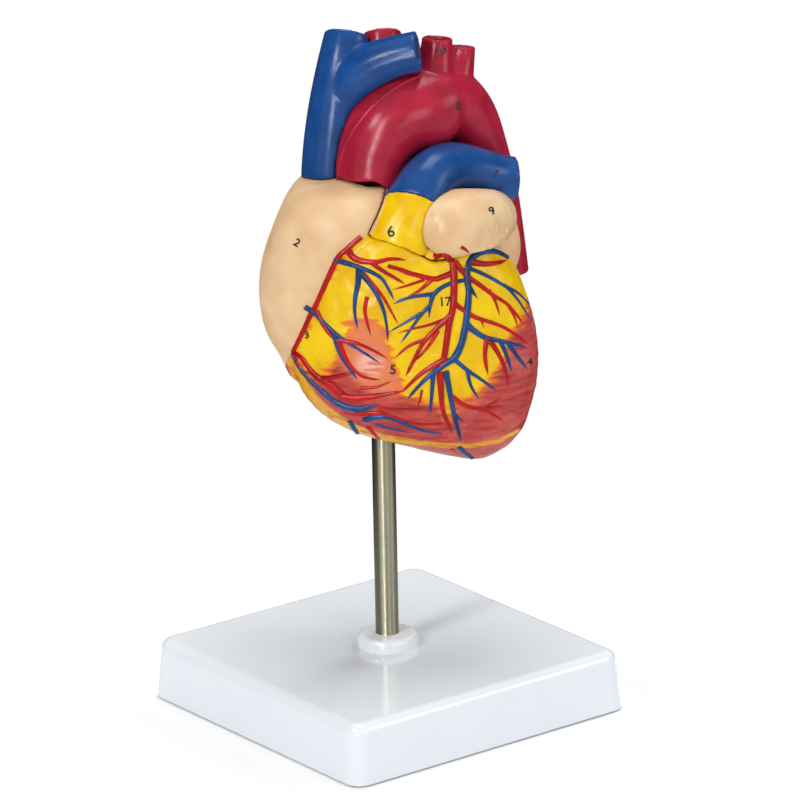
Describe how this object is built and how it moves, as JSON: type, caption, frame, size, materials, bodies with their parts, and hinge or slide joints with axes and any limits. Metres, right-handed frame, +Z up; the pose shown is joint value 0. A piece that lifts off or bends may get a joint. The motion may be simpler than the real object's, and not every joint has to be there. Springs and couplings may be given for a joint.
{
  "type": "human heart anatomy model",
  "caption": "Painted human heart anatomy model with a removable front cover, on a steel rod stand with a square white base.",
  "frame": {"origin": "on the table under the rod, at the middle of the square base", "axes": "+Z up along the rod; X and Y along the base's sides; the heart's front looks towards -X and -Y, 37.3 degrees off -Y"},
  "size_m": [0.146, 0.146, 0.2999],
  "materials": {
    "base_white": "satin moulded",
    "foot_rubber": "matt",
    "polished_steel": "polished",
    "plain_steel": "zinc plated",
    "heart_paint": "enamel painted",
    "flesh_paint": "enamel painted",
    "artery_paint": "enamel painted",
    "vein_paint": "enamel painted",
    "trunk_paint": "enamel painted",
    "socket_plastic": "moulded",
    "valve_paint": "enamel painted",
    "muscle_paint": "enamel painted"
  },
  "bodies": {
    "stand": {"base_shell": "base_white", "rubber_feet": "foot_rubber", "rod_collar": "base_white"},
    "rod": {"support_rod": "polished_steel", "rod_insert": "plain_steel", "rod_screw": "plain_steel", "rod_washer": "plain_steel"},
    "heart": {"heart_rear": "heart_paint", "papillary_muscles": "muscle_paint", "pulmonary_valve": "valve_paint", "aortic_valve": "valve_paint", "mitral_valve": "valve_paint", "tricuspid_valve": "valve_paint", "left_atrium": "flesh_paint", "right_atrium": "flesh_paint", "rod_socket": "socket_plastic", "left_auricle": "flesh_paint", "pulmonary_trunk": "trunk_paint", "pulmonary_arteries": "vein_paint", "aorta": "artery_paint", "superior_vena_cava": "vein_paint", "inferior_vena_cava": "vein_paint", "locating_pins": "plain_steel", "left_pulmonary_veins": "artery_paint", "right_pulmonary_veins": "artery_paint"},
    "cover": {"front_cover": "heart_paint", "atrium_cover": "flesh_paint"}
  },
  "joints": [
    {"name": "rod_turn", "type": "hinge", "parent": "stand", "child": "rod", "pos_m": [0, 0, 0.02], "axis": [0, 0, 1], "continuous": true},
    {"name": "heart_lift", "type": "slide", "parent": "rod", "child": "heart", "axis": [0, 0, 1], "range_m": [0, 0.075]},
    {"name": "cover_pull", "type": "slide", "parent": "heart", "child": "cover", "axis": [-0.606, -0.7955, 0], "range_m": [0, 0.09]}
  ]
}
